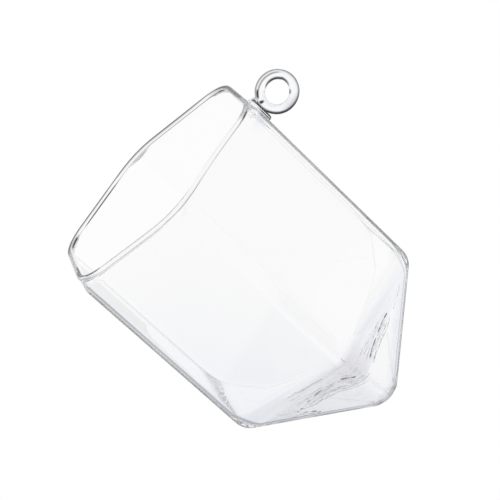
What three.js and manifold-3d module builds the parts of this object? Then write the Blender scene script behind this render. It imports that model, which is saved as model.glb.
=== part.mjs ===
// Hanging geometric glass terrarium: a blown glass vessel with six flat walls, a six-sided pyramid as its base
// and an open mouth. It hangs by a glass eye, which is welded to one wall just under the rim.
// Millimetres, +Z up. The origin is the middle of the eye's hole, and the object is placed as it hangs:
// the mouth looks up towards -X and the tip of the base points down towards +X.

import * as THREE from 'three';
import { mergeVertices } from 'three/addons/utils/BufferGeometryUtils.js';
import Module from 'manifold-3d';

// Outside of the vessel
const acrossFlats = 100;
const wallLength = 95;
const baseHeight = 56;
const edgeRadius = 2.5;
const shoulderRadius = 12;
const tipRadius = 4.5;
const tipFlatRadius = 3.5;

// Thickness of the glass, and the rounder inside that blowing leaves
const wallGlass = 1.8;
const baseGlass = 3.3;
const innerEdgeRadius = 2;
const innerShoulderRadius = 10;
const innerTipRadius = 5;
const innerTipFlatRadius = 3;

// Fire-polished rim: a bead on the end of the walls, where the corners have melted round
const rimBead = 2.2;
const rimDrawIn = 0.3;
const rimCornerRadius = 20;
const lipDepth = 5;

// Hanging eye: a closed ring of glass rod that sinks a little into the pad
const eyeOuterDiameter = 19;
const eyeRod = 4.1;
const eyeBelowRim = 12.5;
const eyeSink = 0.5;

// Pad: the gather of glass that joins the eye to the wall
const padLength = 12.5;
const padWidth = 8;
const padThickness = 2.3;
const padEdgeRadius = 1.2;

// How the pieces meet, and how far the vessel's axis dips below level when it hangs
const meltGap = 0.3;
const hangAngle = THREE.MathUtils.degToRad(45);

// Fineness of the facets
const cornerSteps = 5;
const shoulderSteps = 5;
const tipSteps = 4;
const lipSteps = 5;
const beadSteps = 6;
const eyeSteps = 32;
const rodSteps = 12;
const padSteps = 32;
const padEdgeSteps = 4;

const outerHalf = acrossFlats / 2;
const slope = Math.atan2(outerHalf, baseHeight);
const mix = THREE.MathUtils.lerp;

// One level of the vessel: a hexagon of the given half width with round corners, at a depth below the rim.
// The first flat faces +X, where the eye is.
function hexagonLevel({ half, corner, depth }) {
  const radius = Math.min(corner, 0.9 * half);
  const reach = (half - radius) / Math.cos(Math.PI / 6);
  const points = [];
  for (let side = 0; side < 6; side++) {
    const middle = Math.PI / 6 + side * Math.PI / 3;
    for (let step = 0; step <= cornerSteps; step++) {
      const angle = middle + (step / cornerSteps - 0.5) * Math.PI / 3;
      points.push(new THREE.Vector3(
        reach * Math.cos(middle) + radius * Math.cos(angle),
        reach * Math.sin(middle) + radius * Math.sin(angle),
        -depth,
      ));
    }
  }
  return points;
}

// Levels of one skin from the shoulder to the tip: an arc, the straight pyramid face and an arc to a small flat.
// The apex depth is where the pyramid's faces would meet if the tip were sharp.
function baseLevels({ half, apexDepth, shoulder, tip, flat, edge }) {
  const levels = [];
  const footDepth = apexDepth - half / Math.tan(slope);
  const arcTop = footDepth - shoulder * Math.tan(slope / 2);
  for (let step = 0; step <= shoulderSteps; step++) {
    const angle = slope * step / shoulderSteps;
    levels.push({
      half: half - shoulder * (1 - Math.cos(angle)),
      corner: edge,
      depth: arcTop + shoulder * Math.sin(angle),
    });
  }
  const tipCentre = apexDepth - tip * Math.sin(slope) - (flat + tip * Math.cos(slope)) / Math.tan(slope);
  for (let step = 0; step <= tipSteps; step++) {
    const angle = mix(slope, Math.PI / 2, step / tipSteps);
    const reach = flat + tip * Math.cos(angle);
    levels.push({
      half: reach,
      corner: mix(Math.min(edge, reach), 0.9 * reach, step / tipSteps),
      depth: tipCentre + tip * Math.sin(angle),
    });
  }
  return levels;
}

// Levels between the bead and the straight wall, where the rim's round corners fill out to the wall's edges
function lipLevels(wall, rim) {
  const levels = [];
  for (let step = 1; step <= lipSteps; step++) {
    const left = (1 - step / lipSteps) ** 3;
    levels.push({
      half: mix(wall.half, rim.half, left),
      corner: mix(wall.edge, rim.corner, left),
      depth: rimBead / 2 + lipDepth * step / lipSteps,
    });
  }
  return levels;
}

// Levels over the top of the bead, from the inside to the outside
function beadLevels() {
  const levels = [];
  for (let step = 0; step <= beadSteps; step++) {
    const angle = Math.PI * (1 - step / beadSteps);
    const inset = rimBead / 2 * (1 - Math.cos(angle));
    levels.push({
      half: outerHalf - rimDrawIn - inset,
      corner: rimCornerRadius - inset,
      depth: rimBead / 2 * (1 - Math.sin(angle)),
    });
  }
  return levels;
}

// Closed body through a list of levels, with a fan of triangles at each end
function loftLevels(levels) {
  const rings = levels.map(hexagonLevel);
  const around = rings[0].length;
  const vertices = rings.flat();
  const firstPole = vertices.push(new THREE.Vector3(0, 0, rings[0][0].z)) - 1;
  const lastPole = vertices.push(new THREE.Vector3(0, 0, rings.at(-1)[0].z)) - 1;
  const lastRing = (rings.length - 1) * around;
  const index = [];
  for (let i = 0; i < around; i++) {
    const j = (i + 1) % around;
    index.push(firstPole, i, j);
    index.push(lastPole, lastRing + j, lastRing + i);
    for (let ring = 0; ring < rings.length - 1; ring++) {
      const here = ring * around;
      const next = here + around;
      index.push(here + i, next + j, here + j);
      index.push(here + i, next + i, next + j);
    }
  }
  const geometry = new THREE.BufferGeometry().setFromPoints(vertices);
  geometry.setIndex(index);
  geometry.computeVertexNormals();
  return geometry;
}

function vesselGeometry() {
  const bead = beadLevels();
  const innerWall = { half: outerHalf - wallGlass, edge: innerEdgeRadius };
  const outerWall = { half: outerHalf, edge: edgeRadius };
  const apexDepth = wallLength + baseHeight;
  const inner = [
    ...lipLevels(innerWall, bead[0]),
    ...baseLevels({
      ...innerWall,
      apexDepth: apexDepth - baseGlass / Math.sin(slope),
      shoulder: innerShoulderRadius,
      tip: innerTipRadius,
      flat: innerTipFlatRadius,
    }),
  ];
  const outer = [
    ...lipLevels(outerWall, bead.at(-1)),
    ...baseLevels({
      ...outerWall,
      apexDepth,
      shoulder: shoulderRadius,
      tip: tipRadius,
      flat: tipFlatRadius,
    }),
  ];
  return loftLevels([...inner.reverse(), ...bead, ...outer]);
}

// A ring of round rod about the Y axis
function ringGeometry(outerDiameter, rod, ringSteps, sectionSteps) {
  const middle = (outerDiameter - rod) / 2;
  const profile = [];
  for (let step = 0; step <= sectionSteps; step++) {
    const angle = 2 * Math.PI * (step % sectionSteps) / sectionSteps;
    profile.push(new THREE.Vector2(middle + rod / 2 * Math.cos(angle), rod / 2 * Math.sin(angle)));
  }
  return new THREE.LatheGeometry(profile, ringSteps);
}

// An oval cushion of glass with a round upper edge. It rises along +X from the wall.
function padBlankGeometry() {
  const reach = padLength / 2;
  const edge = Math.min(padEdgeRadius, padThickness - meltGap);
  const profile = [new THREE.Vector2(0, meltGap), new THREE.Vector2(reach, meltGap)];
  for (let step = 0; step <= padEdgeSteps; step++) {
    const angle = Math.PI / 2 * step / padEdgeSteps;
    profile.push(new THREE.Vector2(
      reach - edge * (1 - Math.cos(angle)),
      padThickness - edge * (1 - Math.sin(angle)),
    ));
  }
  profile.push(new THREE.Vector2(0, padThickness));
  const geometry = new THREE.LatheGeometry(profile, padSteps);
  geometry.rotateZ(-Math.PI / 2);
  geometry.scale(1, padWidth / padLength, 1);
  return geometry;
}

const wasm = await Module();
wasm.setup();

function solidFrom(geometry) {
  const bare = geometry.clone();
  bare.deleteAttribute('normal');
  bare.deleteAttribute('uv');
  const merged = mergeVertices(bare, 1e-4);
  return new wasm.Manifold(new wasm.Mesh({
    numProp: 3,
    vertProperties: new Float32Array(merged.attributes.position.array),
    triVerts: new Uint32Array(merged.index.array),
  }));
}

function geometryFrom(solid) {
  const mesh = solid.getMesh();
  const geometry = new THREE.BufferGeometry();
  geometry.setAttribute('position', new THREE.BufferAttribute(new Float32Array(mesh.vertProperties), 3));
  geometry.setIndex(new THREE.BufferAttribute(new Uint32Array(mesh.triVerts), 1));
  geometry.computeVertexNormals();
  return geometry;
}

// The pad with the groove that the eye has sunk into
function padGeometry() {
  const eyeFromWall = padThickness - eyeSink + eyeOuterDiameter / 2;
  const groove = ringGeometry(eyeOuterDiameter + 2 * meltGap, eyeRod + 2 * meltGap, eyeSteps, rodSteps);
  groove.translate(eyeFromWall, 0, 0);
  return geometryFrom(solidFrom(padBlankGeometry()).subtract(solidFrom(groove)));
}

function clearGlass() {
  return new THREE.MeshStandardMaterial({
    color: 0xe9f0f2,
    roughness: 0.04,
    metalness: 0,
    transparent: true,
    opacity: 0.35,
  });
}

function glassPiece(name, geometry) {
  const piece = new THREE.Mesh(geometry, clearGlass());
  piece.name = name;
  return piece;
}

// The pieces stand upright here, with the rim's plane at Z = 0 and the eye's wall towards +X
const vessel = glassPiece('vessel', vesselGeometry());

const eyePad = glassPiece('eye_pad', padGeometry());
eyePad.position.set(outerHalf, 0, -eyeBelowRim);

const hangingEye = glassPiece('hanging_eye', ringGeometry(eyeOuterDiameter, eyeRod, eyeSteps, rodSteps));
hangingEye.position.set(outerHalf + padThickness - eyeSink + eyeOuterDiameter / 2, 0, -eyeBelowRim);

const upright = new THREE.Group();
upright.add(vessel, eyePad, hangingEye);
upright.position.copy(hangingEye.position).negate();

// Turned about the eye's hole until the vessel hangs as it does on a hook
const terrarium = new THREE.Group();
terrarium.add(upright);
terrarium.rotation.y = hangAngle - Math.PI / 2;

export default terrarium;
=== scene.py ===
"""Hanging geometric glass terrarium: a blown glass vessel with six flat walls, a pyramid base and an open
mouth, hung by a glass eye that is welded to one wall just under the rim. Metres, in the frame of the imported
model."""

from math import atan2, ceil, cos, pi, radians, sin, tan

import bpy
import numpy as np
from mathutils import Matrix, Vector


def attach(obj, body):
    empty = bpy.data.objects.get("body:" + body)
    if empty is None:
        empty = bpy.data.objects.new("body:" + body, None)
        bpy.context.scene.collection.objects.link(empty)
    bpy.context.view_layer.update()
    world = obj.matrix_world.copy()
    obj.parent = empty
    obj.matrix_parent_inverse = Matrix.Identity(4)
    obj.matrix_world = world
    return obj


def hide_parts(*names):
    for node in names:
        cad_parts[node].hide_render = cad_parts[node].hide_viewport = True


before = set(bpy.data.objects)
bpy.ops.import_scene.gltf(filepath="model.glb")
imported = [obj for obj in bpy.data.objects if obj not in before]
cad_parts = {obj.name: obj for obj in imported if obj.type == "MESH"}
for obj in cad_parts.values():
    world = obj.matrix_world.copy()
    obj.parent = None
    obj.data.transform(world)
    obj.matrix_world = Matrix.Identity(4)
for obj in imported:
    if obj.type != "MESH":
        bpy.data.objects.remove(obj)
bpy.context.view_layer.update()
scene = bpy.context.scene
scene.view_settings.view_transform = "Standard"


# Camera
# It stands where the photograph was taken from: a little above the vessel and to its left.
view_azimuth = radians(-11.96)
view_elevation = radians(15.11)
view_distance = 0.6934
aim = Vector((-0.01172, -0.00115, -0.06698))
towards_camera = Vector((
    sin(view_azimuth) * cos(view_elevation),
    -cos(view_azimuth) * cos(view_elevation),
    sin(view_elevation),
))
lens = bpy.data.cameras.new("camera")
lens.sensor_width = 36
lens.lens = 118.07
camera = bpy.data.objects.new("camera", lens)
camera.location = aim + view_distance * towards_camera
camera.rotation_euler = towards_camera.to_track_quat("Z", "Y").to_euler()
scene.collection.objects.link(camera)
scene.camera = camera


# Vessel
# One bubble of clear borosilicate glass, blown into a mould with six walls and a pyramid end. The cut mouth
# was melted round in the flame, which leaves a bead along the rim and softens the six corners there.
ACROSS_FLATS = 0.100
WALL_LENGTH = 0.095
BASE_HEIGHT = 0.056
EDGE_RADIUS = 0.0025
SHOULDER_RADIUS = 0.012
TIP_RADIUS = 0.0045
TIP_FLAT = 0.0035
WALL_GLASS = 0.0015
BASE_GLASS = 0.0024
INNER_EDGE_RADIUS = 0.0045
INNER_SHOULDER_RADIUS = 0.022
INNER_TIP_RADIUS = 0.007
RIM_BEAD = 0.0022
RIM_DRAW_IN = 0.0003
RIM_CORNER_RADIUS = 0.020
LIP_DEPTH = 0.0045
NECK_TURN = radians(32)
NECK_FILLET = 0.0007
HALF = ACROSS_FLATS / 2
SLOPE = atan2(HALF, BASE_HEIGHT)
APEX_DEPTH = WALL_LENGTH + BASE_HEIGHT
EYE_CENTRE = Vector((0.0613, 0, -0.0125))
AXIS_DIP = radians(45)
hung = Matrix.Rotation(AXIS_DIP - pi / 2, 4, "Y") @ Matrix.Translation(-EYE_CENTRE)

# Distance between levels on the walls, on the base and where the base has folds, and how far down from the
# shoulder these reach. At the tip, the corner radius comes to the last number times the half width.
WALL_SPACING = 0.006
BASE_SPACING = 0.002
FOLD_SPACING = 0.00036
FOLD_REACH = 0.030
ROUNDEST = 0.9


def spread(start, end, spacing):
    """Evenly spread levels between two others, without these two."""
    start, end = np.array(start), np.array(end)
    steps = ceil(np.hypot(*(end - start)[[0, 2]]) / spacing)
    return [start + (end - start) * step / steps for step in range(1, steps)]


def wall_to_tip(half, apex_depth, edge, shoulder, tip, flat, fine=0, arc_steps=20):
    """Levels of one skin from the foot of the lip to the tip: half width, corner radius and depth. The wall
    turns into the pyramid's face on an arc, and that into the small flat at the tip on another. Down the
    pyramid's face, levels lie close together for a fine length."""
    shoulder_depth = apex_depth - half / tan(SLOPE)
    arc_top = shoulder_depth - shoulder * tan(SLOPE / 2)
    shoulder_arc = [
        (half - shoulder * (1 - cos(turn)), edge, arc_top + shoulder * sin(turn))
        for turn in np.linspace(0, SLOPE, arc_steps)
    ]
    tip_centre = apex_depth - tip * sin(SLOPE) - (flat + tip * cos(SLOPE)) / tan(SLOPE)
    tip_arc = []
    for turn in np.linspace(SLOPE, pi / 2, arc_steps):
        reach = flat + tip * cos(turn)
        share = (turn - SLOPE) / (pi / 2 - SLOPE)
        tip_arc.append((reach, edge + (ROUNDEST * reach - edge) * share, tip_centre + tip * sin(turn)))
    wall_top = (half, edge, RIM_BEAD / 2 + LIP_DEPTH)
    foot = np.array(shoulder_arc[-1])
    down_face = np.array(tip_arc[0]) - foot
    fine_end = foot + down_face * fine / np.hypot(*down_face[[0, 2]])
    # The last of the close levels lies a hair further down than the fine length
    last_fine = fine_end + (fine_end - foot) * 1e-3
    middle = [(share * flat, ROUNDEST * share * flat, tip_arc[-1][2]) for share in (0.66, 0.33, 0)]
    return [
        wall_top, *spread(wall_top, shoulder_arc[0], WALL_SPACING), *shoulder_arc,
        *spread(foot, fine_end, FOLD_SPACING), last_fine, *spread(fine_end, tip_arc[0], BASE_SPACING),
        *tip_arc, *middle,
    ]


def smooth_step(start, end, value):
    """0 up to the start, 1 from the end, and a smooth rise between them."""
    share = min(max((value - start) / (end - start), 0), 1)
    return share * share * (3 - 2 * share)


# The bead is nearly a full circle in section. Below it, both skins swing back from its neck to the wall.
BEAD_LEVELS = 25
bead_centre = HALF - RIM_DRAW_IN - RIM_BEAD / 2
bead = []
for angle in np.linspace(-NECK_TURN, pi + NECK_TURN, BEAD_LEVELS):
    reach = RIM_BEAD / 2 * cos(angle)
    bead.append((bead_centre + reach, RIM_CORNER_RADIUS + reach, RIM_BEAD / 2 * (1 - sin(angle))))


def lip_levels(wall, neck, side, fillet_steps=5, steps=13):
    """Levels from the bead's neck to the straight wall, where the rim's round corners fill out to crisp
    edges. The side is 1 on the outer skin and -1 on the inner one."""
    levels = []
    centre_half = neck[0] + side * NECK_FILLET * cos(NECK_TURN)
    centre_depth = neck[2] + NECK_FILLET * sin(NECK_TURN)
    for turn in np.linspace(NECK_TURN, 0, fillet_steps + 1)[1:]:
        half = centre_half - side * NECK_FILLET * cos(turn)
        levels.append((half, neck[1], centre_depth - NECK_FILLET * sin(turn)))
    foot = levels[-1]
    for share in np.linspace(0, 1, steps + 1)[1:-1]:
        left = 1 - smooth_step(0, 1, share)
        levels.append((
            wall[0] + (foot[0] - wall[0]) * left,
            wall[1] + (foot[1] - wall[1]) * (1 - share) ** 3,
            foot[2] + (wall[2] - foot[2]) * share,
        ))
    return levels


outer_skin = wall_to_tip(
    HALF, APEX_DEPTH, EDGE_RADIUS, SHOULDER_RADIUS, TIP_RADIUS, TIP_FLAT, FOLD_REACH,
)
inner_skin = wall_to_tip(
    HALF - WALL_GLASS, APEX_DEPTH - BASE_GLASS / sin(SLOPE), INNER_EDGE_RADIUS, INNER_SHOULDER_RADIUS,
    INNER_TIP_RADIUS, TIP_FLAT / 2,
)
outer_lip = lip_levels(outer_skin[0], bead[0], 1)
inner_lip = lip_levels(inner_skin[0], bead[-1], -1)
section = [*outer_skin[::-1], *outer_lip[::-1], *bead, *inner_lip, *inner_skin]

# How many columns of points the sides have. Those with chill folds are fine.
SIDE_COLUMNS = 24
FINE_SIDE_COLUMNS = 100
CORNER_COLUMNS = 12


def add_node(tree, kind, *values, **settings):
    """A new node: its settings first, then its inputs in order, each as a link or a value."""
    node = tree.nodes.new(kind)
    for name, value in settings.items():
        setattr(node, name, value)
    for socket, value in zip([s for s in node.inputs if s.enabled], values):
        if isinstance(value, bpy.types.NodeSocket):
            tree.links.new(value, socket)
        elif value is not None:
            socket.default_value = value
    return node


def maths(tree, operation, *values):
    """The result of one sum on numbers."""
    return add_node(tree, "ShaderNodeMath", *values, operation=operation).outputs[0]


def vectors(tree, operation, *values):
    """The result of one sum on vectors."""
    return add_node(tree, "ShaderNodeVectorMath", *values, operation=operation).outputs[0]


def start_tree(name, **inputs):
    """An empty geometry tree with a mesh coming in, named inputs and a mesh going out."""
    tree = bpy.data.node_groups.new(name, "GeometryNodeTree")
    tree.interface.new_socket("Geometry", in_out="INPUT", socket_type="NodeSocketGeometry")
    for label, kind in inputs.items():
        tree.interface.new_socket(label, in_out="INPUT", socket_type="NodeSocket" + kind)
    tree.interface.new_socket("Geometry", in_out="OUTPUT", socket_type="NodeSocketGeometry")
    return tree, tree.nodes.new("NodeGroupInput").outputs


def end_tree(tree, geometry, material):
    """Makes the result real, smooth and of one material."""
    real = add_node(tree, "GeometryNodeRealizeInstances", geometry).outputs[0]
    smooth = add_node(tree, "GeometryNodeSetShadeSmooth", real).outputs[0]
    done = add_node(tree, "GeometryNodeSetMaterial", smooth, None, material).outputs[0]
    tree.links.new(done, tree.nodes.new("NodeGroupOutput").inputs[0])


def grow(name, start, tree, **inputs):
    """The plain mesh that a geometry tree makes from a start mesh, as a new object at the origin."""
    seed = bpy.data.objects.new(name + "_seed", start)
    scene.collection.objects.link(seed)
    modifier = seed.modifiers.new("grow", "NODES")
    modifier.node_group = tree
    for item in tree.interface.items_tree:
        if item.in_out == "INPUT" and item.name in inputs:
            modifier[item.identifier] = inputs[item.name]
    mesh = bpy.data.meshes.new_from_object(seed.evaluated_get(bpy.context.evaluated_depsgraph_get()))
    mesh.name = name
    bpy.data.objects.remove(seed)
    piece = bpy.data.objects.new(name, mesh)
    scene.collection.objects.link(piece)
    return piece


def hexagon_loft():
    """Turns the section, whose points hold half width, corner radius and height, into a six-sided vessel."""
    tree, given = start_tree("hexagon_loft", **{
        "Columns per side": "Int", "Columns per fine side": "Int", "Columns per corner": "Int",
        "Material": "Material",
    })
    per_side = given["Columns per side"]
    per_fine_side = given["Columns per fine side"]
    per_corner = given["Columns per corner"]
    # The last two sides, which have the chill folds, are the fine ones
    plain_columns = maths(tree, "MULTIPLY", per_side, 4)
    fine_columns = maths(tree, "MULTIPLY", per_fine_side, 2)
    columns = maths(tree, "ADD", maths(tree, "ADD", plain_columns, fine_columns), 1)
    size = add_node(tree, "GeometryNodeAttributeDomainSize", given["Geometry"])
    rows = size.outputs["Point Count"]
    grid = add_node(tree, "GeometryNodeMeshGrid", 1, 1, columns, rows).outputs[0]
    index = tree.nodes.new("GeometryNodeInputIndex").outputs[0]
    column = maths(tree, "FLOOR", maths(tree, "DIVIDE", maths(tree, "ADD", index, 0.5), rows))
    row = maths(tree, "SUBTRACT", index, maths(tree, "MULTIPLY", column, rows))
    is_fine = maths(tree, "GREATER_THAN", column, maths(tree, "SUBTRACT", plain_columns, 0.5))
    extra_columns = maths(tree, "SUBTRACT", per_fine_side, per_side)
    side_columns = maths(tree, "MULTIPLY_ADD", is_fine, extra_columns, per_side)
    past_plain = maths(tree, "SUBTRACT", column, maths(tree, "MULTIPLY", is_fine, plain_columns))
    side_share = maths(tree, "DIVIDE", maths(tree, "ADD", past_plain, 0.5), side_columns)
    group_side = maths(tree, "FLOOR", side_share)
    side = maths(tree, "MULTIPLY_ADD", is_fine, 4, group_side)
    step = maths(tree, "SUBTRACT", past_plain, maths(tree, "MULTIPLY", group_side, side_columns))
    # Each side starts with its round corner, where the wall's direction turns by a sixth of a round
    turned = maths(tree, "MINIMUM", maths(tree, "DIVIDE", step, per_corner), 1)
    flat_columns = maths(tree, "SUBTRACT", side_columns, per_corner)
    past_corner = maths(tree, "MAXIMUM", maths(tree, "SUBTRACT", step, per_corner), 0)
    along = maths(tree, "MULTIPLY_ADD", maths(tree, "DIVIDE", past_corner, flat_columns), 2, -1)
    sides_turned = maths(tree, "SUBTRACT", maths(tree, "ADD", side, turned), 1)
    facing = maths(tree, "MULTIPLY", sides_turned, pi / 3)
    next_flat = maths(tree, "MULTIPLY", side, pi / 3)

    def level_vector(x, y):
        """A vector without height."""
        return add_node(tree, "ShaderNodeCombineXYZ", x, y, 0).outputs[0]

    def direction(angle):
        """A level unit vector at this angle from the eye's wall."""
        return level_vector(maths(tree, "COSINE", angle), maths(tree, "SINE", angle))

    sideways = direction(maths(tree, "ADD", next_flat, pi / 2))
    run = maths(tree, "MULTIPLY", along, tan(pi / 6))
    shift = add_node(tree, "ShaderNodeVectorMath", sideways, run, operation="SCALE").outputs[0]
    sharp = vectors(tree, "ADD", direction(next_flat), shift)
    position = tree.nodes.new("GeometryNodeInputPosition").outputs[0]
    sampled = add_node(
        tree, "GeometryNodeSampleIndex", given["Geometry"], position, row, data_type="FLOAT_VECTOR",
    ).outputs[0]
    parts = add_node(tree, "ShaderNodeSeparateXYZ", sampled).outputs
    straight_half = maths(tree, "SUBTRACT", parts["X"], parts["Y"])
    place = vectors(
        tree, "ADD",
        vectors(tree, "MULTIPLY", sharp, level_vector(straight_half, straight_half)),
        vectors(tree, "MULTIPLY", direction(facing), level_vector(parts["Y"], parts["Y"])),
    )
    height = add_node(tree, "ShaderNodeCombineXYZ", 0, 0, parts["Z"]).outputs[0]
    place = vectors(tree, "ADD", place, height)
    lofted = add_node(tree, "GeometryNodeSetPosition", grid, None, place).outputs[0]
    for name, value in (("row", row), ("facing", facing)):
        lofted = add_node(
            tree, "GeometryNodeStoreNamedAttribute", lofted, None, name, value, data_type="FLOAT",
        ).outputs[0]
    welded = add_node(tree, "GeometryNodeMergeByDistance", lofted, None, 1e-6).outputs[0]
    end_tree(tree, welded, given["Material"])
    return tree


def colour_stops(tree, share, stops):
    """A colour ramp over a number, from (place, colour) stops."""
    ramp = add_node(tree, "ShaderNodeValToRGB", share)
    while len(ramp.color_ramp.elements) < len(stops):
        ramp.color_ramp.elements.new(0.5)
    for element, (place, colour) in zip(ramp.color_ramp.elements, stops):
        element.position = place
        element.color = (*colour, 1)
    return ramp.outputs[0]


# Clear borosilicate: hardly any colour through a wall, a faint grey green along the length of one
GLASS_IOR = 1.47
GLASS_COLOUR = (0.78, 0.8, 0.75, 1)
GLASS_DENSITY = 4.5
# Painted edge shade: how much light passes a surface, from 0 where it is met straight on to 1 where it
# is met at a grazing angle
WALL_EDGES = ((0.97, (1, 1, 1)), (1.00, (0.60, 0.61, 0.56)))
ROD_EDGES = (
    (0.08, (1, 1, 1)),
    (0.18, (0.80, 0.80, 0.80)),
    (0.30, (0.36, 0.36, 0.33)),
    (0.50, (0.06, 0.06, 0.045)),
)
# Painted shade: how much light passes where shade is painted into the glass, from how dark it is
SHADES = (
    (0.00, (1, 1, 1)),
    (0.10, (0.85, 0.865, 0.93)),
    (0.25, (0.78, 0.78, 0.82)),
    (0.45, (0.54, 0.54, 0.59)),
    (0.65, (0.25, 0.25, 0.25)),
    (1.00, (0.002, 0.002, 0.002)),
)


def clear_glass(name, plain, rod_like):
    """Clear glass with painted edge shade, plain on the blown walls and rod-like where the attribute "rod" is
    1. The attribute "shade" paints further shade into it in places."""
    material = bpy.data.materials.new(name)
    material.use_nodes = True
    tree = material.node_tree
    surface = tree.nodes["Principled BSDF"]
    # The glass's colour carries painted shade: darker where a surface is met at a grazing angle, and where
    # the attribute "shade" says
    facing = add_node(tree, "ShaderNodeLayerWeight", 0.5).outputs["Facing"]
    rod = add_node(tree, "ShaderNodeAttribute", attribute_name="rod").outputs["Fac"]
    shade = add_node(tree, "ShaderNodeAttribute", attribute_name="shade").outputs["Fac"]
    edges = add_node(
        tree, "ShaderNodeMix", rod, colour_stops(tree, facing, plain), colour_stops(tree, facing, rod_like),
        data_type="RGBA",
    ).outputs[2]
    tint = add_node(
        tree, "ShaderNodeMix", 1, edges, colour_stops(tree, shade, SHADES),
        data_type="RGBA", blend_type="MULTIPLY",
    ).outputs[2]
    tree.links.new(tint, surface.inputs["Base Color"])
    surface.inputs["Roughness"].default_value = 0
    surface.inputs["IOR"].default_value = GLASS_IOR
    surface.inputs["Transmission Weight"].default_value = 1
    absorption = add_node(tree, "ShaderNodeVolumeAbsorption", GLASS_COLOUR, GLASS_DENSITY)
    tree.links.new(absorption.outputs[0], tree.nodes["Material Output"].inputs["Volume"])
    return material


vessel_glass = clear_glass("vessel_glass", WALL_EDGES, ROD_EDGES)
section_mesh = bpy.data.meshes.new("section")
section_mesh.from_pydata(
    [(half, corner, -depth) for half, corner, depth in section],
    [(i, i + 1) for i in range(len(section) - 1)],
    [],
)
vessel = grow(
    "vessel_skin", section_mesh, hexagon_loft(),
    **{
        "Columns per side": SIDE_COLUMNS, "Columns per fine side": FINE_SIDE_COLUMNS,
        "Columns per corner": CORNER_COLUMNS, "Material": vessel_glass,
    },
)


def set_attribute(mesh, name, values):
    """Writes one number for each point of a mesh."""
    attribute = mesh.attributes.new(name, "FLOAT", "POINT")
    attribute.data.foreach_set("value", np.asarray(values, dtype=np.float32))


def get_attribute(mesh, name):
    """One number for each point of a mesh."""
    values = np.zeros(len(mesh.vertices))
    mesh.attributes[name].data.foreach_get("value", values)
    return values


def mesh_points(mesh):
    """The places of all points of a mesh."""
    points = np.zeros(3 * len(mesh.vertices))
    mesh.vertices.foreach_get("co", points)
    return points.reshape(-1, 3)


def bump(value, middle, reach):
    """1 at the middle, falling smoothly to 0 at this reach from it."""
    return np.clip(1 - ((value - middle) / reach) ** 2, 0, 1) ** 2


def degrees_from(angles, middle):
    """How far angles in degrees lie from another one, either way round."""
    return np.abs((angles - middle + 180) % 360 - 180)


# Which row, skin and side of the vessel each point belongs to
points = mesh_points(vessel.data)
point_rows = np.rint(get_attribute(vessel.data, "row")).astype(int)
facing = get_attribute(vessel.data, "facing")
around = np.degrees(np.arctan2(points[:, 1], points[:, 0]))
first_bead_row = len(outer_skin) + len(outer_lip)
last_bead_row = first_bead_row + len(bead) - 1
bead_row = (point_rows - first_bead_row) / (last_bead_row - first_bead_row)
on_bead = (bead_row >= 0) & (bead_row <= 1)
on_outside = point_rows < len(outer_skin)
corner_turn = (np.degrees(facing) % 60) / 60
in_corner = 4 * corner_turn * (1 - corner_turn)
# Place round the base, in sides from the middle of the one under the eye, and millimetres from the rim, down
# the slope of the base from the shoulder, and along each side
side = np.floor(around / 60 + 0.5)
side_middle = np.radians(60 * side)
sideways = -points[:, 0] * np.sin(side_middle) + points[:, 1] * np.cos(side_middle)
from_rim = -1000 * points[:, 2]
down = (from_rim - 1000 * WALL_LENGTH) / cos(SLOPE)
side_length = np.maximum(2 * (1000 * HALF - np.maximum(down, 0) * sin(SLOPE)) * tan(pi / 6), 4)
round_base = side % 6 + 1000 * sideways / side_length


def in_direction(middle, reach):
    """1 in this direction from the vessel's axis, falling smoothly to 0 at this reach from it. In degrees."""
    return bump(degrees_from(around, middle), 0, reach)


# Chill folds: where the gather met the cold mould, it set in fine folds. Bundles of folds run between two
# edges, each given by places round the base and millimetres down the slope. Then come the number of folds,
# how dark their painted shade is and their half width in millimetres. The narrow folds are grooves, with
# painted shade along them and a painted highlight just below. In the bundles darker than 1, the first fold
# leads: it is whole, wider and darker. The last two bundles are soft waves towards the tip, painted shade
# only.
FOLD_BUNDLES_WITH_PAINTED_SHADE = (
    (
        ((3.82, 16.0), (4.07, 10.2), (4.30, 7.5), (4.39, 12.0), (4.51, 19.9), (4.60, 27.5)),
        ((3.82, 17.0), (3.87, 20.8), (4.05, 20.2), (4.19, 21.7), (4.31, 26.8), (4.55, 30.0)),
        19, 2.1, 0.3,
    ),
    (
        ((5.10, 9.5), (5.04, 10.3), (4.94, 11.9), (4.83, 15.1), (4.73, 19.2)),
        ((5.16, 13.0), (5.11, 17.2), (4.99, 19.3), (4.86, 22.6), (4.73, 26.0)),
        9, 2.8, 0.3,
    ),
    (
        ((3.75, 5.0), (3.73, 9.0), (3.78, 13.0), (3.73, 20.0), (3.73, 26.0), (3.70, 31.0)),
        ((3.65, 7.0), (3.70, 12.0), (3.64, 18.0), (3.68, 22.0), (3.60, 28.0), (3.66, 32.0)),
        9, 2.0, 0.26,
    ),
    (((5.30, 2.0), (5.24, 6.0), (5.17, 9.0)), ((5.38, 4.0), (5.31, 8.0), (5.22, 13.0)), 5, 0.5, 0.3),
    (
        ((3.95, 0.0), (4.20, 1.0), (4.42, 1.5), (4.62, 4.0)),
        ((3.90, 9.0), (4.07, 8.0), (4.35, 9.0), (4.66, 16.0)),
        16, 0.55, 0.3,
    ),
    (
        ((3.88, -3.5), (4.10, -2.5), (4.37, -0.9), (4.56, 2.3)),
        ((3.80, -2.5), (4.10, -1.6), (4.37, 0.1), (4.60, 3.3)),
        4, 0.5, 0.3,
    ),
    (((4.60, 5.0), (4.80, 2.0), (5.00, 1.0)), ((4.66, 17.0), (4.80, 13.0), (5.00, 8.0)), 9, 0.3, 0.3),
    (((4.00, 26.0), (4.18, 30.0), (4.32, 32.0)), ((3.90, 40.0), (4.05, 44.0), (4.20, 47.0)), 5, 0.38, 1.1),
    (((5.28, 16.0), (5.20, 24.0), (5.05, 32.0)), ((5.50, 30.0), (5.40, 38.0), (5.20, 48.0)), 5, 0.38, 1.1),
)
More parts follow.
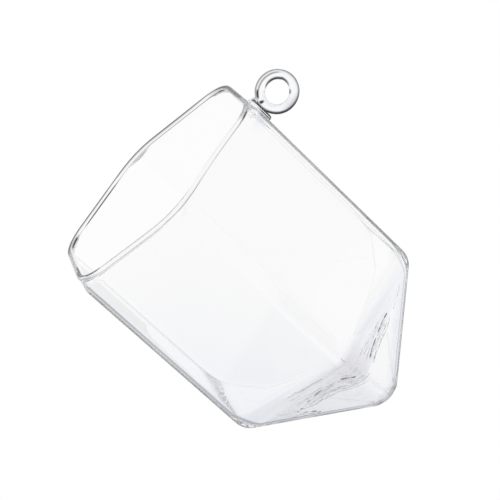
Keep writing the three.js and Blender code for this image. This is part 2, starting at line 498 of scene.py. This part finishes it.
# Steps along a fold, how many times its darkness changes along it, how far it strays and how far from its
# middle it still shows, in millimetres
FOLD_STEPS = 60
FOLD_PULSES = 25
FOLD_STRAY = 0.35
FOLD_SHOWN = 2.5
# How much darker and how much wider a leading fold is, and how far below a fold its painted highlight
# lies, in millimetres
LEAD_DARKER = 1.2
LEAD_WIDER = 1.8
HIGHLIGHT_BELOW = 0.6


def smooth_line(places, steps):
    """Points along a smooth curve through a few places."""
    places = np.array([places[0], *places, places[-1]], dtype=float)
    curve = []
    for t in np.linspace(0, len(places) - 3 - 1e-9, steps):
        start, share = int(t), t - int(t)
        before, here, beyond, after = places[start:start + 4]
        curve.append(0.5 * (
            2 * here + (beyond - before) * share + (2 * before - 5 * here + 4 * beyond - after) * share ** 2
            + (3 * here - before - 3 * beyond + after) * share ** 3
        ))
    return np.array(curve)


def folds_with_painted_shade(places, levels, lengths):
    """How deep the folds are on the base, their painted shade, and the painted highlight below them."""
    random = np.random.default_rng(7)
    pulse_steps = np.linspace(0, FOLD_STEPS, FOLD_PULSES)
    shade, light, depth = np.zeros((3, len(places)))
    for upper, lower, count, strength, half_width in FOLD_BUNDLES_WITH_PAINTED_SHADE:
        upper, lower = smooth_line(upper, FOLD_STEPS), smooth_line(lower, FOLD_STEPS)
        for number in range(count):
            share = number / (count - 1)
            middle = upper + (lower - upper) * share
            stray = np.linspace(0, random.uniform(6, 14), FOLD_STEPS) + random.uniform(0, 6)
            middle[:, 1] += FOLD_STRAY * np.sin(stray)
            strong = strength > 1
            leads = strong and number == 0
            start, end = 0, FOLD_STEPS
            if not leads:
                start, end = random.integers(0, FOLD_STEPS + 1, 2) // 2 + (0, FOLD_STEPS // 2)
            pulse = np.interp(np.arange(FOLD_STEPS), pulse_steps, random.uniform(-1, 1, FOLD_PULSES))
            force = strength * np.clip((0.1 if strong else 0.6) + 0.9 * pulse, 0, 1)
            force *= LEAD_DARKER if leads else random.uniform(0.25, 0.8)
            width = half_width * random.uniform(0.8, 1.2) * (LEAD_WIDER if leads else 1)
            for step in range(start, end):
                x = (places - middle[step, 0]) * lengths
                y = levels - middle[step, 1]
                near = (np.abs(x) < FOLD_SHOWN) & (np.abs(y) < FOLD_SHOWN)
                off = (x[near] ** 2 + y[near] ** 2) / width ** 2
                below = (x[near] ** 2 + (y[near] - HIGHLIGHT_BELOW) ** 2) / width ** 2
                # Painted shade along the fold; narrow folds also get a painted highlight just below and a
                # groove
                shade[near] = np.maximum(shade[near], force[step] * np.exp(-off))
                if half_width < 1:
                    light[near] = np.maximum(light[near], np.exp(-below))
                    depth[near] = np.maximum(depth[near], np.exp(-off / 2))
    return shade, light, depth


# The folds lie on the base's two near faces, and start a little above the shoulder
on_base = on_outside & (down > -6) & (down < 52) & (round_base > 3.4) & (round_base < 5.6)
shade, light, depth = np.zeros((3, len(points)))
shade[on_base], light[on_base], depth[on_base] = folds_with_painted_shade(
    round_base[on_base], down[on_base], side_length[on_base],
)

# How dark the softer patches of painted shade are
GREY_SHADE = 0.42
BLUISH_SHADE = 0.09
STREAK_SHADE = 0.34
FOOT_SHADE = 0.5
# Where the painted grey shade under the shoulder ends: places round the base and millimetres down its slope
GREY_PLACES = (3.5, 3.8, 4.1, 4.3, 4.5, 4.8, 5.1, 5.4, 5.6)
GREY_ENDS = (12, 20, 19, 26, 30, 22, 15, 7, 3)
# Bands of painted grey shade along the base's two outer edges: the edge's place round the base, the band's
# width in millimetres and how dark it is
EDGE_BANDS = ((3.5, 3.5, 0.2), (5.5, 3.5, 0.3), (5.5, 14, 0.22))

# Painted shade: the glass between the shoulder and the folds is shaded a little grey, more so on the left,
# and less just below the folds where their painted highlight lies
grey = on_outside * bump(round_base, 4.5, 1.15)
grey *= np.clip((np.interp(round_base, GREY_PLACES, GREY_ENDS) - down) / 3, 0, 1)
grey *= np.clip(down / 4 + 1.2, 0, 1) * np.interp(round_base, (4.5, 4.8), (1, 0.55))
shade = np.maximum(shade, GREY_SHADE * grey * (1 - 0.9 * light))
for edge, width, strength in EDGE_BANDS:
    band = np.clip(1 - side_length * np.abs(round_base - edge) / width, 0, 1)
    shade = np.maximum(shade, strength * on_outside * (down > 0) * band)
# Painted shade standing in for what the wall mirrors: the wall on the left of the near edge turns a little
# bluer and darker downwards
wall_turn = around % 360
bluish = np.clip((from_rim - 5) / 80, 0, 1) * np.clip((285 - wall_turn) / 60, 0, 1) * (wall_turn > 203)
shade = np.maximum(shade, BLUISH_SHADE * bluish * on_outside * (in_corner < 0.01))
# Painted shade in streaks, drawn down from the rim's lowest corner on the wall that is seen edge on
painted_streaks = bump(from_rim, 16, 22) * np.clip((round_base - 3.25) / 0.25, 0, 1) * (side % 6 == 3)
painted_streaks *= 0.7 + 0.3 * np.sin(60 * round_base)
shade = np.maximum(shade, STREAK_SHADE * painted_streaks * (bead_row < 0))
# Painted shade where the foot of the pad runs into the rim's corner
shade = np.maximum(shade, FOOT_SHADE * in_direction(-27, 12) * bump(from_rim, 3, 5) * on_outside)

# Painted shade along the rim, in dark strokes and lines where the bead bends and mirrors its dark
# surroundings: their middle and half length in degrees from the eye's wall, their middle and half width
# across the bead, from 0 at its outer neck to 1 at its inner one, and how dark they are
RIM_PAINTED_SHADES = (
    (122, 17, 1.02, 0.16, 1.0),
    (150, 6, 0.92, 0.18, 1.0),
    (26, 5, 0.97, 0.18, 1.0),
    (196, 9, 0.70, 0.13, 1.0),
    (206, 9, 0.54, 0.16, 1.0),
    (216, 6, 0.46, 0.15, 1.0),
    (75, 42, 0.42, 0.38, 0.9),
    (135, 32, 0.42, 0.34, 0.9),
    (-34, 4, 0.02, 0.16, 1.0),
    (-24, 14, 0.30, 0.40, 0.5),
    (10, 26, 0.42, 0.28, 1.0),
    (248, 34, 0.40, 0.08, 0.62),
)
for middle, reach, level, width, strength in RIM_PAINTED_SHADES:
    along = np.clip(1 - (degrees_from(around, middle) / reach) ** 4, 0, 1)
    across = np.abs(bead_row - level) / (width * np.sqrt(along) + 0.001)
    shade = np.maximum(shade, strength * np.minimum(2 * along, 1) * np.clip(2 - 2 * across, 0, 1))
set_attribute(vessel.data, "shade", shade)

# Painted edge shade, darker where a surface is met at a grazing angle: the edges are as dark as a solid rod's
# on the far rim, at the tip and, on the base, at the two corners that make the outline. They are less so at
# these corners on the walls, on the near rim, on the rim's lowest side and inside the far rim.
bead_strength = 0.06 + 0.94 * np.clip(points[:, 1] / HALF + 0.55, 0, 1)
bead_strength *= 1 - 0.7 * in_direction(182, 42)
bead_strength *= 1 - 0.75 * bump(bead_row, 1, 0.45) * (points[:, 1] > 0)
corners = np.minimum(2 * in_corner, 1) * (in_direction(210, 30) + in_direction(330, 30))
corners *= np.where(down > 0, 1, 0.65)
at_tip = bump(np.hypot(points[:, 0], points[:, 1]), 0, 0.014)
rod_like = np.maximum(on_bead * bead_strength, on_outside * np.maximum(corners, at_tip))
set_attribute(vessel.data, "rod", rod_like)

# The folds are grooves. The rim stands proud between the eye and the near corner, and the necks of the near
# rim are filled out on both skins.
FOLD_DEPTH = 0.00012
RIM_RISE = 0.0009
OUTER_NECK_FILL = 0.0005
INNER_NECK_FILL = 0.0008
outwards = np.stack((
    np.cos(facing) * cos(SLOPE), np.sin(facing) * cos(SLOPE), np.full_like(facing, -sin(SLOPE)),
), axis=1)
points -= FOLD_DEPTH * depth[:, None] * outwards
near_rim = np.clip(1 + (points[:, 2] + RIM_BEAD) / LIP_DEPTH, 0, 1) ** 2
points[:, 2] += RIM_RISE * near_rim * in_direction(-62, 50)
neck_fill = OUTER_NECK_FILL * np.exp(-((point_rows - first_bead_row) / 5) ** 2)
neck_fill -= INNER_NECK_FILL * np.exp(-((point_rows - last_bead_row) / 8) ** 2)
neck_fill *= np.minimum(1.4 * in_direction(240, 62), 1)
points[:, 0] += neck_fill * np.cos(facing)
points[:, 1] += neck_fill * np.sin(facing)
vessel.data.vertices.foreach_set("co", points.ravel())
vessel.data.update()
vessel.data.transform(hung)
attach(vessel, "root")
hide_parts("vessel")


# Hanging eye
# A short length of clear rod, bent hot into a ring with its end lapped over at the top, and fire-polished.
# It stands on the pad, in line with the vessel's axis.
EYE_OUTER = 0.019
EYE_ROD = 0.0041
RING_MIDDLE = (EYE_OUTER - EYE_ROD) / 2
# The rod's thickness as a share of its plain one, how much more it is at the lap, and how much it varies
ROD_SHARE = 1.03
LAP_SHARE = 0.04
UNEVEN_SHARE = 0.01
# In degrees round the ring: where the lap starts and its painted lines end, and from the start of the lap,
# over which stretch it rises and over which it thins out
LAP_AT = 72
LAP_END = 200
LAP_RISE = (0, 5)
LAP_FALL = (100, 190)
LAP_MIDDLE = (LAP_AT + LAP_END) / 2
LAP_REACH = (LAP_END - LAP_AT) / 2
# Painted shade on the ring, in dark strokes where it bends its dark surroundings and in the lap's lines, in
# degrees: their middle and half length round the ring, their middle and half width round the rod's section,
# counted from its outer side, and how dark they are
RING_PAINTED_SHADES = (
    (-42, 64, 0, 92, 1.0),
    (126, 22, 180, 26, 1.0),
    (88, 20, 180, 16, 0.5),
    (0, 14, 180, 46, 1.0),
    (183, 16, 52, 24, 1.0),
    (208, 6, 76, 42, 1.0),
    (LAP_MIDDLE, LAP_REACH, 62, 15, 0.8),
    (LAP_MIDDLE, LAP_REACH, 0, 46, 0.75),
)
# Painted edge shade round the ring's hole: how much light passes its surface, as for the walls
HOLE_EDGES = ((0.60, (1, 1, 1)), (0.95, (0.42, 0.42, 0.42)))


def bent_rod():
    """Sweeps a round rod along a closed line. The points of the line say how thick the rod is there."""
    tree, given = start_tree("bent_rod", **{"Sides": "Int", "Material": "Material"})
    line = add_node(tree, "GeometryNodeMeshToCurve", given["Geometry"]).outputs[0]
    thickness = add_node(tree, "GeometryNodeInputNamedAttribute", "rod_radius", data_type="FLOAT").outputs[0]
    upright = add_node(tree, "GeometryNodeSetCurveNormal", line, mode="Z_UP").outputs[0]
    profile = add_node(tree, "GeometryNodeCurvePrimitiveCircle", given["Sides"], mode="RADIUS").outputs[0]
    profile.node.inputs["Radius"].default_value = 1
    swept = add_node(tree, "GeometryNodeCurveToMesh", upright, profile, thickness).outputs[0]
    end_tree(tree, swept, given["Material"])
    return tree


def ring_line(steps=240):
    """The middle of the rod all round the ring, which lies level here, and the rod's radius at each point."""
    rise_start, rise_end = np.radians(LAP_RISE)
    fall_start, fall_end = np.radians(LAP_FALL)
    places, radii = [], []
    for turn in np.linspace(0, 2 * pi, steps, endpoint=False):
        past_lap = (turn - radians(LAP_AT)) % (2 * pi)
        lapped = smooth_step(rise_start, rise_end, past_lap)
        lapped *= 1 - smooth_step(fall_start, fall_end, past_lap)
        rod = EYE_ROD / 2 * (ROD_SHARE + LAP_SHARE * lapped + UNEVEN_SHARE * sin(3 * turn + 1))
        middle = EYE_OUTER / 2 - rod
        places.append((middle * cos(turn), middle * sin(turn), 0))
        radii.append(rod)
    return places, radii


places, radii = ring_line()
line_mesh = bpy.data.meshes.new("ring_line")
line_mesh.from_pydata(places, [(i, (i + 1) % len(places)) for i in range(len(places))], [])
set_attribute(line_mesh, "rod_radius", radii)
eye_glass = clear_glass("eye_glass", HOLE_EDGES, ROD_EDGES)
eye = grow("hanging_eye_ring", line_mesh, bent_rod(), Sides=48, Material=eye_glass)

# Painted shade: the ring is greyer towards its outer side, with the painted strokes and lines on top
points = mesh_points(eye.data)
out = np.hypot(points[:, 0], points[:, 1]) - RING_MIDDLE
round_ring = np.degrees(np.arctan2(points[:, 1], points[:, 0]))
round_rod = np.degrees(np.arctan2(points[:, 2], out))
shade = 0.12 * np.clip((2 * out / EYE_ROD + 0.3) / 1.3, 0, 1)
for middle, reach, level, width, strength in RING_PAINTED_SHADES:
    along = np.clip(1 - (degrees_from(round_ring, middle) / reach) ** 2, 0, 1)
    across = degrees_from(round_rod, level) / (width * np.sqrt(along) + 0.001)
    shade = np.maximum(shade, strength * np.minimum(2 * along, 1) * np.clip(2 - 2 * across, 0, 1))
set_attribute(eye.data, "shade", shade)
# Painted edge shade: its outer edge is dark, less so where it is lapped, and its hole's edge isn't
outer_strength = 1 - 0.5 * bump(degrees_from(round_ring, 130), 0, 90)
set_attribute(eye.data, "rod", outer_strength * np.clip(0.5 + 1.4 * out / EYE_ROD, 0, 1))
eye.data.transform(Matrix.Rotation(pi / 2, 4, "X"))
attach(eye, "root")
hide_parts("hanging_eye")


# Eye pad
# A gather of soft glass pressed onto the wall under the rim. It fills out round the foot of the ring that was
# set into it, and slopes down towards the rim.
PAD_LENGTH = 0.0125
PAD_WIDTH = 0.008
PAD_THICKNESS = 0.0023
# The gap left where the real glass has melted together, and the least thickness, which keeps the pad closed
MELT_GAP = 0.00004
THINNEST = 0.00002
PAD_RINGS = 80
PAD_COLUMNS = 120
# How steep the pad's slope on the rim's side is and where it starts. Then the fillet drawn up along the ring
# there: how high it goes, how far it reaches to each side, and between which distances from the middle of the
# pad it rises and falls.
PAD_SLOPE = 0.75
SLOPE_FROM = 0.0045
FILLET_LIFT = 0.0022
FILLET_HALF = 0.003
FILLET_RISE = (0.0034, 0.0046)
FILLET_FALL = (0.0050, 0.0057)


def pad_top(along, across):
    """Height of the pad above the wall, where the ring's groove doesn't cut it."""
    out = np.hypot(along / (PAD_LENGTH / 2), across / (PAD_WIDTH / 2))
    slab = PAD_THICKNESS * np.clip(1 - out ** 16, 0, 1) ** 0.4
    slope = PAD_THICKNESS - PAD_SLOPE * np.clip(along - SLOPE_FROM, 0, None)
    risen = np.clip((along - FILLET_RISE[0]) / (FILLET_RISE[1] - FILLET_RISE[0]), 0, 1) ** 2
    left = np.clip((FILLET_FALL[1] - along) / (FILLET_FALL[1] - FILLET_FALL[0]), 0, 1) ** 2
    fillet = FILLET_LIFT * risen * left * np.clip(1 - (across / FILLET_HALF) ** 2, 0, 1)
    return np.minimum(slab, slope) + fillet


def ring_underside(along, across):
    """Height of the underside of the ring above the wall, far up where no ring is."""
    centre_height = EYE_CENTRE.x - HALF
    rod = EYE_ROD / 2 * (ROD_SHARE + LAP_SHARE + UNEVEN_SHARE)
    middle = EYE_OUTER / 2 - rod
    rod = rod + MELT_GAP
    reach = middle + np.sqrt(np.clip(rod ** 2 - across ** 2, 0, None))
    return np.where(
        (np.abs(across) < rod) & (np.abs(along) < reach),
        centre_height - np.sqrt(np.clip(reach ** 2 - along ** 2, 0, None)), 1,
    )


def pad_shade(points):
    """Two lines of painted shade along the near side of the pad: one on its upper edge, and one further down
    that fades towards the rim."""
    height = points[:, 0] / PAD_THICKNESS
    upper = np.clip(4 - np.abs(height - 0.84) / 0.05, 0, 1)
    lower = np.clip(4 - np.abs(height - 0.44) / 0.036, 0, 1)
    lower *= np.clip(1 - 3 * points[:, 2] / PAD_LENGTH, 0, 1)
    return np.maximum(upper, lower) * np.clip(0.5 - 1000 * points[:, 1], 0, 1)


def pad_mesh():
    """A closed cushion: rings of points on its upper side and on the side that lies along the wall."""
    shares = np.sin(np.linspace(0, pi / 2, PAD_RINGS + 1))
    turns = np.linspace(0, 2 * pi, PAD_COLUMNS, endpoint=False)
    upper, lower = [], []
    for share in shares[1:]:
        along = share * PAD_LENGTH / 2 * np.cos(turns)
        across = share * PAD_WIDTH / 2 * np.sin(turns)
        top = np.maximum(np.minimum(pad_top(along, across), ring_underside(along, across)), THINNEST)
        upper.append(np.stack((MELT_GAP + top, across, along), axis=1))
        lower.append(np.stack((np.full_like(along, MELT_GAP), across, along), axis=1))
    rows = [*lower, *upper[-2::-1]]
    first = np.array([[MELT_GAP, 0, 0]])
    top = min(pad_top(0, 0), float(ring_underside(np.array(0.0), np.array(0.0))))
    last = np.array([[MELT_GAP + top, 0, 0]])
    points = np.concatenate([first, *rows, last])
    count = len(rows)
    faces = []
    for step in range(PAD_COLUMNS):
        following = (step + 1) % PAD_COLUMNS
        faces.append((0, 1 + step, 1 + following))
        for row in range(count - 1):
            here, beyond = 1 + row * PAD_COLUMNS, 1 + (row + 1) * PAD_COLUMNS
            faces.append((here + step, beyond + step, beyond + following, here + following))
        end = 1 + (count - 1) * PAD_COLUMNS
        faces.append((end + step, len(points) - 1, end + following))
    mesh = bpy.data.meshes.new("eye_pad_gather")
    mesh.from_pydata([tuple(point) for point in points], [], faces)
    mesh.polygons.foreach_set("use_smooth", [True] * len(mesh.polygons))
    return mesh


pad_glass = clear_glass("pad_glass", WALL_EDGES, ROD_EDGES)
pad_body = pad_mesh()
set_attribute(pad_body, "shade", pad_shade(mesh_points(pad_body)))
pad_body.materials.append(pad_glass)
pad_body.transform(hung @ Matrix.Translation((HALF, 0, EYE_CENTRE.z)))
pad = bpy.data.objects.new("eye_pad_gather", pad_body)
scene.collection.objects.link(pad)
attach(pad, "root")
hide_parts("eye_pad")


# Studio
# A plain pale floor far under the hanging vessel, and soft light from all round. The camera sees only white.
# What the glass mirrors and what it bends into its edges is greyer, as in a room with dark places.
FLOOR_HALF = 3
FLOOR_DROP = 0.55
# The floor's mirrored light over four metres from front to back and, lightening that, from left to right
FLOOR_DEPTH_LIGHT = (
    (0.25, (0.70, 0.70, 0.71)),
    (0.44, (0.66, 0.67, 0.70)),
    (0.53, (0.54, 0.55, 0.58)),
    (0.59, (0.42, 0.43, 0.46)),
    (0.67, (0.65, 0.66, 0.70)),
    (0.80, (1, 1, 1)),
)
FLOOR_SIDE_LIGHT = ((0.50, (0, 0, 0)), (0.56, (0.68, 0.68, 0.72)), (0.70, (0.84, 0.84, 0.88)))
# The room's mirrored light towards its dark side, and from front to back
DARK_SIDE = (-0.38, -0.42, 0.82)
ROOM_LIGHT = (
    (0.00, (0.6, 0.6, 0.65)),
    (0.35, (1, 1, 1)),
    (0.88, (0.95, 0.95, 0.95)),
    (0.96, (0.40, 0.42, 0.50)),
    (1.00, (0.05, 0.08, 0.20)),
)
ROOM_DEPTH_LIGHT = ((0.25, (0.72, 0.72, 0.72)), (0.55, (1, 1, 1)))
# What is seen through the glass, from straight down to straight up
BACKDROP_LIGHT = (
    (0.00, (1, 1, 1)),
    (0.525, (1, 1, 1)),
    (0.60, (0.3, 0.3, 0.3)),
    (0.66, (0.05, 0.05, 0.05)),
    (0.86, (0.05, 0.05, 0.05)),
    (0.94, (1, 1, 1)),
)
floor_mesh = bpy.data.meshes.new("floor")
floor_mesh.from_pydata(
    [(x * FLOOR_HALF, y * FLOOR_HALF, -FLOOR_DROP) for x, y in ((-1, -1), (1, -1), (1, 1), (-1, 1))],
    [], [(0, 1, 2, 3)],
)
floor = bpy.data.objects.new("floor", floor_mesh)
scene.collection.objects.link(floor)


def light_through(tree):
    """1 for light that comes straight through the glass, without a mirror reflection on its way."""
    light_path = tree.nodes.new("ShaderNodeLightPath").outputs
    unmirrored = maths(tree, "LESS_THAN", light_path["Glossy Depth"], 0.5)
    return maths(tree, "MULTIPLY", light_path["Is Transmission Ray"], unmirrored)


def mixed_light(tree, blend, first, second):
    """Two colours blended into one."""
    return add_node(tree, "ShaderNodeMix", 1, first, second, data_type="RGBA", blend_type=blend).outputs[2]


pale = bpy.data.materials.new("floor")
pale.use_nodes = True
tree = pale.node_tree
tree.nodes.clear()
diffuse = add_node(tree, "ShaderNodeBsdfDiffuse", (0.8, 0.8, 0.8, 1)).outputs[0]
white = add_node(tree, "ShaderNodeEmission", (1, 1, 1, 1), 1).outputs[0]
place = add_node(
    tree, "ShaderNodeSeparateXYZ", tree.nodes.new("ShaderNodeTexCoord").outputs["Object"],
).outputs
mirrored = add_node(tree, "ShaderNodeEmission", mixed_light(
    tree, "LIGHTEN",
    colour_stops(tree, maths(tree, "MULTIPLY_ADD", place["Y"], 0.25, 0.5), FLOOR_DEPTH_LIGHT),
    colour_stops(tree, maths(tree, "MULTIPLY_ADD", place["X"], 0.25, 0.5), FLOOR_SIDE_LIGHT),
), 1).outputs[0]
light_path = tree.nodes.new("ShaderNodeLightPath").outputs
seen = maths(tree, "MAXIMUM", light_path["Is Camera Ray"], light_through(tree))
gloss = maths(tree, "MINIMUM", light_path["Glossy Depth"], 1)
shown = add_node(tree, "ShaderNodeMixShader", gloss, diffuse, mirrored).outputs[0]
shown = add_node(tree, "ShaderNodeMixShader", seen, shown, white).outputs[0]
tree.links.new(shown, tree.nodes.new("ShaderNodeOutputMaterial").inputs["Surface"])
floor_mesh.materials.append(pale)

world = bpy.data.worlds.new("studio")
scene.world = world
world.use_nodes = True
tree = world.node_tree
tree.nodes.clear()
towards = tree.nodes.new("ShaderNodeTexCoord").outputs["Generated"]
parts = add_node(tree, "ShaderNodeSeparateXYZ", towards).outputs
from_dark_side = add_node(
    tree, "ShaderNodeVectorMath", towards, DARK_SIDE, operation="DOT_PRODUCT",
).outputs["Value"]
room = add_node(tree, "ShaderNodeBackground", mixed_light(
    tree, "MULTIPLY",
    colour_stops(tree, maths(tree, "MULTIPLY_ADD", from_dark_side, 0.5, 0.5), ROOM_LIGHT),
    colour_stops(tree, maths(tree, "MULTIPLY_ADD", parts["Y"], 0.5, 0.5), ROOM_DEPTH_LIGHT),
), 1).outputs[0]
backdrop = add_node(tree, "ShaderNodeBackground", colour_stops(
    tree, maths(tree, "MULTIPLY_ADD", parts["Z"], 0.5, 0.5), BACKDROP_LIGHT,
), 1).outputs[0]
plain = add_node(tree, "ShaderNodeBackground", (1, 1, 1, 1), 1).outputs[0]
lit = add_node(tree, "ShaderNodeMixShader", light_through(tree), room, backdrop).outputs[0]
camera_ray = tree.nodes.new("ShaderNodeLightPath").outputs["Is Camera Ray"]
lit = add_node(tree, "ShaderNodeMixShader", camera_ray, lit, plain).outputs[0]
tree.links.new(lit, tree.nodes.new("ShaderNodeOutputWorld").inputs["Surface"])

# Light is passed on within thick glass many times before it leaves again
LIGHT_BOUNCES = 128
scene.cycles.max_bounces = LIGHT_BOUNCES
scene.cycles.glossy_bounces = LIGHT_BOUNCES
scene.cycles.transmission_bounces = LIGHT_BOUNCES
